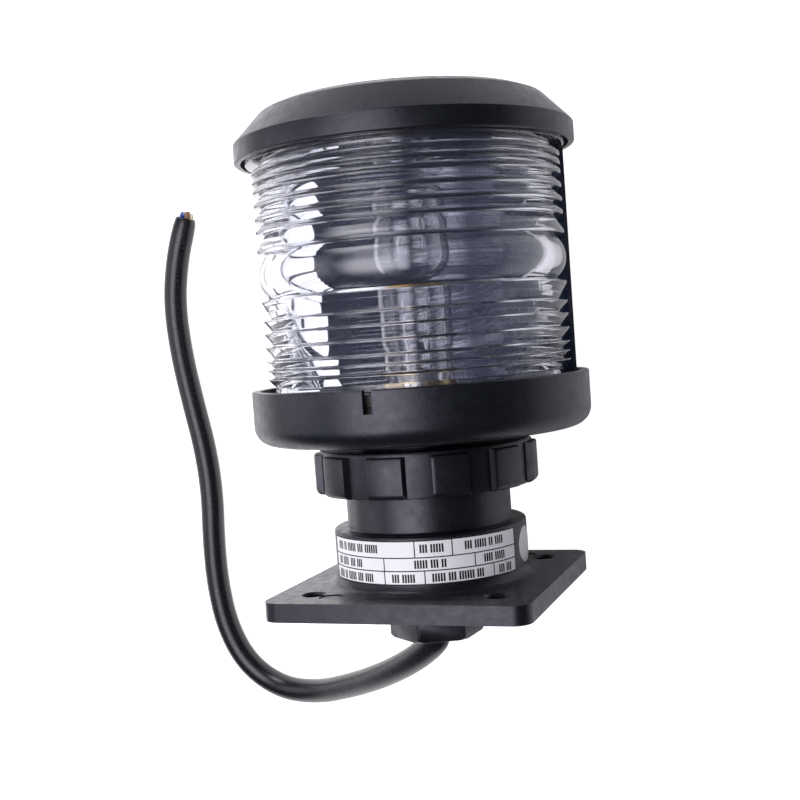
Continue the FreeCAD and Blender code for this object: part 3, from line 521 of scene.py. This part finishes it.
def build_gland():
    """Hexagonal nut with chamfered corners and a flared mouth for the cable."""
    nut = make("gland_hex_nut", prism(hexagon(27, -6), GLAND_FACE, -4.0, 0.25, 2), PLASTIC)
    cone = lathe([(0, -13.4), (14.3, -13.4), (15.7, -12.4), (15.7, -4.7), (15.0, -3.9), (0, -3.9)], 96)
    combine(nut, "INTERSECT", cone)
    mouth_r, thread_r, seat = 6.9, 9.96, -11.8
    bore = lathe([(0, -14), (9.0, -14), (9.0, GLAND_FACE), (mouth_r, -11.9), (mouth_r, seat), (thread_r, seat),
                  (thread_r, -3), (0, -3)], 96)
    combine(nut, "DIFFERENCE", bore)
    piece(nut, "gland_nut", "black_plastic", "gland_nut")


# ---- Union nut ----------------------------------------------------------------

def build_union_nut():
    """Castellated hand nut: raised pads with rounded sides, grooves between."""
    pads, arc, first = 11, 19.6, -11.3
    recess, pad = 34.6, 36.6
    low, pad_top, top = 36.2, 49.2, 50.5
    steps = 40 * pads
    rings = []
    ramp = 1.1
    for k in range(steps):
        angle = 360.0 * k / steps
        off = (angle - first) % (360.0 / pads)
        into = min(off, arc - off) if off < arc else -1
        share = max(0.0, min(1.0, into / ramp))
        share = math.sqrt(1 - (1 - share) ** 2) if share > 0 else 0.0
        swell = recess + (pad - recess) * share
        edge = 1.5 * share + 0.3
        ring = [(27.6, low), (swell - edge, low)]
        for s in range(1, 6):
            turn = math.radians(90 * s / 6)
            ring.append((swell - edge + edge * math.sin(turn), low + edge - edge * math.cos(turn)))
        ring += [(swell, low + edge), (swell, 43.0), (swell, pad_top - 0.7 * share)]
        ring += [(swell - 0.2 * share, pad_top - 0.2 * share), (swell - 0.7 * share, pad_top)]
        ring += [(recess, pad_top), (recess, top - 0.7), (recess - 0.2, top - 0.2), (recess - 0.7, top)]
        ring += [(22.4, top), (22.4, 48.4), (27.06, 48.4), (27.06, low + 0.5)]
        rings.append([spot(r, angle, h) for r, h in ring])
    bm = bmesh.new()
    skin(bm, rings)
    piece(make("union_hand_nut", bm, PLASTIC, 32), "union_nut", "black_plastic", "union_nut")


# ---- Lens ring ----------------------------------------------------------------

def build_ring():
    outline = rounded([
        (16.5, 41.0), (21.0, 41.0, 0.4), (21.0, 53.4), (RIM_R, 53.4, 6.0), (RIM_R, 71.0, 0.5), (52.3, 71.0, 0.3),
        (52.3, 64.5), (45.5, 64.5, 0.3), (45.5, 57.5, 0.5), (16.5, 57.5, 0.4)], 8)
    ring = make("lens_ring", lathe(outline), PLASTIC)
    half = 1.45
    slot = prism([(-half, 51.4), (half, 51.4), (half, 57), (-half, 57)], 64.0, 73)
    slot.transform(Matrix.Rotation(math.radians(SLOT_ANGLE), 4, "Y"))
    combine(ring, "DIFFERENCE", slot)
    screw_r = 1.45
    for x in (-BRACKET_SCREW_AT, BRACKET_SCREW_AT):
        combine(ring, "DIFFERENCE", lathe([(0, 54.5), (screw_r, 54.5), (screw_r, 59), (0, 59)], 32, (x, 0)))
    piece(ring, "head", "black_plastic", "head_housing")


def lens_outline():
    """Lens section: flanges, sharp teeth below the bullseye, round-nosed teeth above it."""
    centre, tip, root, undercut, nose = BULLSEYE, 50.0, 47.2, 0.55, 1.0
    bore, flange, land, top_land = 44.0, 51.6, 142.1, 143.2
    offsets = (8.0, 14.1, 18.2, 22.6, 27.0, 29.9, 32.7)
    below = []
    for offset in reversed(offsets):
        below.append((tip, centre - offset, 0.3))
        below.append((root, centre - offset + undercut, 0.25))
    above = []
    roots = [centre + offset - nose for offset in offsets] + [land]
    for offset, low, target in zip(offsets, roots, roots[1:]):
        middle_r, middle_h = tip - nose, centre + offset
        across, rise = root - middle_r, target - middle_h
        leave = math.atan2(rise, across) - math.acos(nose / math.hypot(across, rise))
        above.append((root, low, 0.15))
        for k in range(13):
            turn = -math.pi / 2 + (leave + math.pi / 2) * k / 12
            above.append((middle_r + nose * math.cos(turn), middle_h + nose * math.sin(turn)))
    bulge = []
    low_r, high_r, half = root, tip + 0.1, 7.0
    sag = high_r - low_r
    radius = (half ** 2 + sag ** 2) / (2 * sag)
    for k in range(25):
        y = -half + 2 * half * k / 24
        bulge.append((high_r - radius + math.sqrt(radius ** 2 - y ** 2), centre + y))
    return rounded(
        [(bore, 65.5, 0.4), (flange, 65.5, 0.4), (flange, 69.6, 0.4), (root, 69.6, 0.2), (root, 72.2, 0.2)]
        + below[:-1] + bulge + above[1:]
        + [(root, land, 0.2), (root, top_land, 0.2), (flange, top_land, 0.4), (flange, 147.5, 0.4),
           (bore, 147.5, 0.4)], 4)


def build_lens():
    """The clear moulding; its faces under the cap, inside the ring and behind the index slot are painted black, as
    painted shade.
    """
    lens = make("fresnel_lens", lathe(lens_outline(), 480), [LENS, LENS_PAINTED_SHADE], 28)
    for face in lens.data.polygons:
        middle = face.center / MM
        reach = math.hypot(middle.x, middle.z)
        # painted shade: lens faces under the cap, behind the index slot and inside the ring are painted black
        shade_under_cap = middle.y > 147.2 or (middle.y > 141.0 and reach < 44.5)
        beside_slot = abs(middle.x - math.tan(math.radians(SLOT_ANGLE)) * middle.z)
        shade_behind_slot = middle.y < 70.5 and middle.z > 0 and beside_slot < 2.0
        shade_in_ring = middle.y < 69.2 and reach > 51.3
        if shade_under_cap or shade_behind_slot or shade_in_ring:
            face.material_index = 1
    piece(lens, "head", "lens_clear", "lens")


def build_screen():
    """Black sheet behind the lens; its inner face is painted darker and bluer than its outer face, as painted shade."""
    inner, outer, low, high = 50.7, 52.0, 69.65, 143.15
    section = [(inner, low), (outer, low), (outer, high), (inner, high)]
    sheet = wedge(section, 180 - SCREEN_HALF_ANGLE, 180 + SCREEN_HALF_ANGLE, 120)
    screen = make("rear_screen", sheet, [PLASTIC, PLASTIC_PAINTED_SHADE])
    for face in screen.data.polygons:
        middle = face.center / MM
        # painted shade: the inner face gets the darker, bluer copy of the plastic
        if math.hypot(middle.x, middle.z) < inner + 0.3:
            face.material_index = 1
    piece(screen, "head", "black_plastic", "back_screen")


# ---- Cap ----------------------------------------------------------------------

def build_cap():
    outline = rounded([
        (53.0, 143.7, 0.2), (RIM_R, 143.7, 0.7), (RIM_R, 149.8, 0.5), (46.1, 159.0, 2.5), (42.1, 160.55, 3.0),
        (33.0, 161.5, 10.0), (0.0, 161.5), (0.0, 158.9), (39.6, 157.6), (41.6, 155.0), (41.6, 140.6, 0.4),
        (43.85, 140.6, 0.4), (43.85, 147.6), (46.15, 147.6), (46.15, 150.05), (48.85, 150.05), (48.85, 147.6),
        (53.0, 147.6)], 8)
    piece(make("screw_cap", lathe(outline), PLASTIC), "cap", "black_plastic", "top_cap")


# ---- Lamp ---------------------------------------------------------------------

def build_lamp():
    """Glass bulb that widens from its neck to a round crown, and the coiled filament in it."""
    neck, wall, wide = 10.58, 0.6, 12.5
    foot, bend, shoulder, crown = 85.5, 91.0, 97.5, 108.5
    outer = [(neck, foot), (neck, bend)]
    inner = [(neck - wall, foot), (neck - wall, bend + 0.2)]
    for k in range(1, 17):
        t = k / 16
        ease = t * t * (3 - 2 * t)
        outer.append((neck + (wide - neck) * ease, bend + (shoulder - bend) * t))
        inner.append((neck - wall + (wide - neck) * ease, bend + 0.2 + (shoulder - bend - 0.2) * t))
    for k in range(25):
        t = math.radians(90 * k / 24)
        outer.append((wide * math.cos(t), crown + wide * math.sin(t)))
        inner.append(((wide - wall) * math.cos(t), crown + (wide - wall) * math.sin(t)))
    glass = make("lamp_envelope", lathe(outer + inner[::-1], 128), GLASS, 50)
    piece(glass, "lamp", "lamp_glass", "lamp_glass")
    coil = []
    turns, per_turn, reach, coil_r = 24, 8, 4.5, 0.45
    for k in range(turns * per_turn + 1):
        t = k / (turns * per_turn)
        turn = 2 * math.pi * k / per_turn
        coil.append((-reach + 2 * reach * t, BULLSEYE + coil_r * math.cos(turn), coil_r * math.sin(turn)))
    piece(wire("filament_coil", coil, 0.16, TUNGSTEN, resolution=2), "lamp", "tungsten", "filament")


def build_springs():
    """The two springs under the contacts."""
    springs = []
    turns, per_turn, coil_r = 5, 12, 1.25
    low, high = 57.15, 60.95
    for x in (-3.2, 3.2):
        points = []
        for k in range(turns * per_turn + 1):
            t = k / (turns * per_turn)
            turn = 2 * math.pi * k / per_turn
            points.append((x + coil_r * math.cos(turn), low + (high - low) * t, coil_r * math.sin(turn)))
        springs.append(wire("spring", points, 0.35, SPRING, resolution=3, sides=8))
    both = join("contact_coils", springs)
    shade(both, 60)
    piece(both, "head", "spring_steel", "contact_springs")
    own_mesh(both)


# ---- Cable --------------------------------------------------------------------

ROUTE = [
    (0, 10, 0), (0, -4, 0), (-0.75, -13.4, -0.75), (-1, -16.5, -1), (-12, -25, -8), (-28, -34, -19),
    (-47, -42.5, -32.5), (-67, -49.5, -45), (-85, -50, -50.5), (-99, -41, -50.5), (-107, -26, -50.5), (-110, -8, -50.5),
    (-110.2, 10, -50.5), (-109.2, 28, -50.5), (-110.6, 46, -50.5), (-114.5, 65, -50.5), (-118, 85, -50.5),
    (-119.3, 105, -50.5), (-116.4, 122.5, -50.5), (-111, 138, -50.5),
]
CABLE_R = 4.5
CUT_TAPER = 1.5       # the sheath draws in over this length at its cut end


def build_cable():
    end = Vector(ROUTE[-1])
    way = (end - Vector(ROUTE[-2])).normalized()
    up = Vector((0, 0, 1))
    side = way.cross(up)
    path = [Vector(p) for p in ROUTE[:-1]] + [end - way * CUT_TAPER, end]
    lead = smooth_line("supply_lead", path, CABLE_R, 24, 10)
    lead.data.splines[0].points[-1].radius = 0.82
    lead.data.materials.append(CABLE)
    piece(lead, "foot", "cable_rubber", "supply_cable")

    def off(along, across, rise):
        return end + way * along + side * across + up * rise

    blue = wire("core_end_blue", [off(-2, -1.6, 0.2), off(0.6, -1.6, 0.3), off(1.6, -1.1, 0.5)], 2.4, CORE_BLUE,
                sides=24)
    brown = wire("core_end_brown", [off(-2, 0.9, 0.7), off(1.2, 0.9, 0.8), off(2.7, 0.5, 1.0)], 2.0, CORE_BROWN,
                 sides=24)
    strands = []
    for k in range(14):
        turn = 2.4 * k
        reach = 0.24 * math.sqrt(k + 0.3)
        points = []
        for s in range(4):
            t = s / 3
            here = turn + 0.5 * t
            points.append(off(-1 + (2.6 + 0.25 * ((k * 5) % 4)) * t, 2.1 - 0.5 * t + reach * math.cos(here),
                              -0.8 + reach * math.sin(here)))
        strands.append(wire("strand", points, 0.34, TINNED, sides=6))
    copper = join("copper_tail", strands)
    shade(copper, 60)
    piece(blue, "foot", "core_blue", "cable_core_blue")
    piece(brown, "foot", "core_brown", "cable_core_brown")
    piece(copper, "foot", "copper", "copper_strands")


# ---- CAD nodes that keep their own shape ----------------------------------------

KEPT = {
    "gland_body": PLASTIC, "gland_lock_nut": PLASTIC, "gland_washer": NYLON, "gland_seal": RUBBER,
    "neck_o_ring": RUBBER, "clamp_ring": PLASTIC, "union_washer": NYLON, "lens_gasket": RUBBER,
    "cap_o_ring": RUBBER, "lamp_bracket": ZINC, "bracket_screws": ZINC, "holder_base": BAKELITE,
    "holder_shell": BRASS, "contact_plungers": BRASS, "lamp_base": NICKEL, "lamp_insulator": BLACK_GLASS,
    "lamp_contacts": SOLDER, "lamp_stem": GLASS, "filament_supports": TUNGSTEN, "terminal_block": BLOCK,
    "terminal_screws": BRASS, "wire_blue_lower": CORE_BLUE, "wire_brown_lower": CORE_BROWN,
    "wire_blue_upper": CORE_BLUE, "wire_brown_upper": CORE_BROWN,
}


def dress_kept_nodes():
    for name, material in KEPT.items():
        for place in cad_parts[name].material_slots:
            place.material = material


# ---- Stage --------------------------------------------------------------------

LIT_POINT = (0, 0.07, 0)
LIGHT_TINT = (0.95, 0.94, 1.0)


def softbox(name, place, width, height, power):
    """A soft light that faces the object and fades towards its edges."""
    light = bpy.data.lights.new(name, "AREA")
    light.shape = "RECTANGLE"
    light.size = width
    light.size_y = height
    light.energy = power
    light.color = LIGHT_TINT
    s = Shader(name, light)
    across = s.add("SeparateXYZ", {0: s.add("NewGeometry").outputs["Parametric"]})
    fade = 1.0
    for axis in ("X", "Y"):
        edge = s.add("Math", {0: across.outputs[axis], 1: 0.5}, operation="SUBTRACT").outputs[0]
        edge = s.add("Math", {0: edge}, operation="ABSOLUTE").outputs[0]
        share = s.add("MapRange", {"Value": edge, "From Min": 0.5, "From Max": 0.12, "To Min": 0.0,
                                   "To Max": 1.0}, interpolation_type="SMOOTHSTEP").outputs["Result"]
        fade = s.add("Math", {0: share, 1: fade}, operation="MULTIPLY").outputs[0]
    glow = s.add("Emission", {"Strength": fade}).outputs["Emission"]
    s.add("OutputLight", {"Surface": glow})
    obj = bpy.data.objects.new(name, light)
    obj.location = place
    obj.rotation_euler = (Vector(LIT_POINT) - Vector(place)).to_track_quat("-Z", "Y").to_euler()
    bpy.context.scene.collection.objects.link(obj)


def build_stage():
    """White floor and surroundings. The camera sees the floor evenly white; to all other rays it glows as painted
    light, fading with distance, with painted shadow to the right and under the foot.
    """
    bm = bmesh.new()
    size = 4.0
    signs = ((-1, -1), (1, -1), (1, 1), (-1, 1))
    bm.faces.new([bm.verts.new((x * size, y * size, FLOOR_Z)) for x, y in signs])
    s = Shader("mat_floor")
    place = s.add("NewGeometry").outputs["Position"]

    def distance(point):
        return s.add("VectorMath", {0: place, 1: point}, operation="DISTANCE").outputs["Value"]

    def times(a, b):
        return s.add("Math", {0: a, 1: b}, operation="MULTIPLY").outputs[0]

    across = s.add("SeparateXYZ", {0: place}).outputs["X"]
    # painted light: the floor's glow to non-camera rays fades with distance, with a painted shadow to the right and a
    # painted shadow under the foot
    painted_glow_falloff = s.span(distance((0, 0.09, FLOOR_Z)), 1.0, 0.12, 0.3, 0.6)
    painted_shadow_right = s.span(across, 1.0, 0.32, -0.03, 0.06)
    painted_shadow_under_foot = s.span(distance((0.01, 0.02, FLOOR_Z)), 0.2, 1.0, 0.03, 0.08)
    painted_floor_glow = times(painted_shadow_under_foot, times(painted_glow_falloff, painted_shadow_right))
    seen = s.add("LightPath").outputs["Is Camera Ray"]
    floor_glow_strength = s.add("Mix", {0: seen, 2: painted_floor_glow, 3: 1.0}).outputs[0]
    white = s.principled({"Base Color": grey(0.6), "Roughness": 0.9, "Emission Color": grey(1.0),
                          "Emission Strength": floor_glow_strength})
    floor = make("floor", bm, s.output(white))
    world = bpy.data.worlds.new("studio")
    bpy.context.scene.world = world
    s = Shader("studio", world)
    seen = s.add("LightPath").outputs["Is Camera Ray"]
    around = s.add("Background", {"Color": (0.5, 0.6, 1.0, 1), "Strength": 0.07}).outputs["Background"]
    behind = s.add("Background", {"Color": grey(1.0)}).outputs["Background"]
    s.add("OutputWorld", {"Surface": s.add("MixShader", {0: seen, 1: around, 2: behind}).outputs["Shader"]})
    softbox("key_front", (-0.17, 0.03, 1.04), 1.25, 1.3, 25)
    softbox("key_left", (-0.95, 0.12, 0.45), 1.0, 1.2, 5.5)
    softbox("fill_top", (-0.4, 1.05, 0.5), 0.9, 0.9, 16)
    bpy.context.scene.view_settings.view_transform = "Standard"


def build_camera():
    """Looks down on the light, turned a little to its right side."""
    heading, pitch, roll = math.radians(20.462), math.radians(-3.0736), math.radians(-4.1446)
    level = Vector((-math.sin(heading), 0, -math.cos(heading)))
    axis = Vector((0, 1, 0))
    right = Vector((math.cos(heading), 0, -math.sin(heading)))
    ahead = level * math.cos(pitch) + axis * math.sin(pitch)
    up = axis * math.cos(pitch) - level * math.sin(pitch)
    x = right * math.cos(roll) + up * math.sin(roll)
    y = up * math.cos(roll) - right * math.sin(roll)
    data = bpy.data.cameras.new("camera")
    data.sensor_width = 36.0
    data.lens = 55.13
    data.clip_start = 0.01
    camera = bpy.data.objects.new("camera", data)
    turn = Matrix((x, y, -ahead)).transposed()
    camera.matrix_world = Matrix.Translation((0.13406, 0.0863, 0.37934)) @ turn.to_4x4()
    bpy.context.scene.collection.objects.link(camera)
    bpy.context.scene.camera = camera


def main():
    build_camera()
    build_cable()
    build_stage()
    build_foot()
    build_label()
    build_sticker()
    build_gland()
    build_union_nut()
    build_ring()
    build_lens()
    build_screen()
    build_cap()
    build_lamp()
    build_springs()
    dress_kept_nodes()


main()
